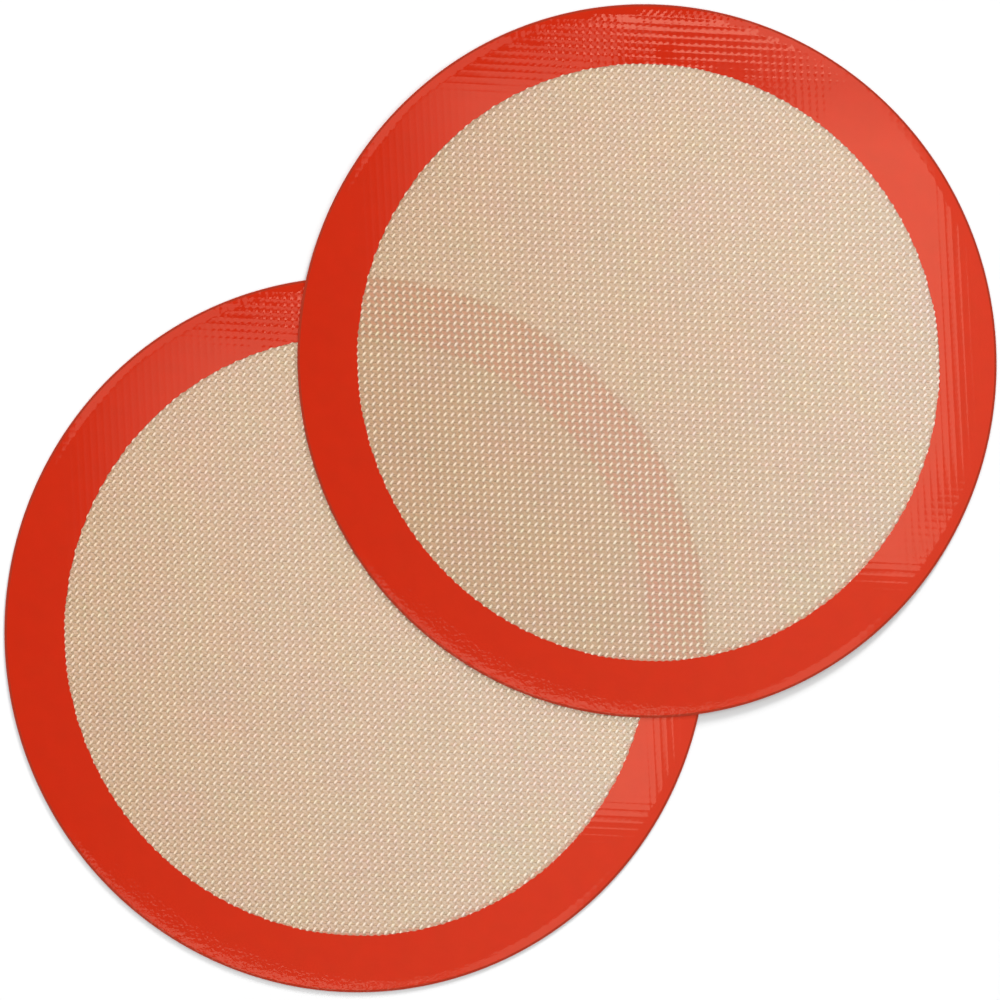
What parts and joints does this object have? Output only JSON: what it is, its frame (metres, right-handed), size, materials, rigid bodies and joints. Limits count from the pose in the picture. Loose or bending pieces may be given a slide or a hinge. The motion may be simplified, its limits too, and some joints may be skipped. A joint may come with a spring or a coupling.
{
  "type": "round silicone baking mat set",
  "caption": "Two thin round flexible baking mats, one overlapping the other: cream silicone over a woven glass mesh, with a wide red silicone border and a sealed edge.",
  "frame": {"origin": "on the table, halfway between the centres of the two mats", "axes": "+Z up off the table; +X right and +Y up as the set lies in the picture, so the upper mat is towards +X and +Y of the lower one"},
  "size_m": [0.432, 0.4222, 0.0014],
  "materials": {
    "cream_silicone": "satin",
    "red_silicone": "gloss",
    "glass_mesh": "satin"
  },
  "bodies": {
    "lower_mat": {"lower_bottom_coat": "cream_silicone", "lower_bottom_border": "red_silicone", "lower_glass_mesh": "glass_mesh", "lower_top_coat": "cream_silicone", "lower_top_border": "red_silicone", "lower_edge_seal": "red_silicone"},
    "upper_mat": {"upper_bottom_coat": "cream_silicone", "upper_bottom_border": "red_silicone", "upper_glass_mesh": "glass_mesh", "upper_top_coat": "cream_silicone", "upper_top_border": "red_silicone", "upper_edge_seal": "red_silicone"}
  },
  "joints": [
    {"name": "upper_mat_lift", "type": "slide", "parent": "lower_mat", "child": "upper_mat", "axis": [0, 0, 1], "range_m": [0, 0.08]}
  ]
}
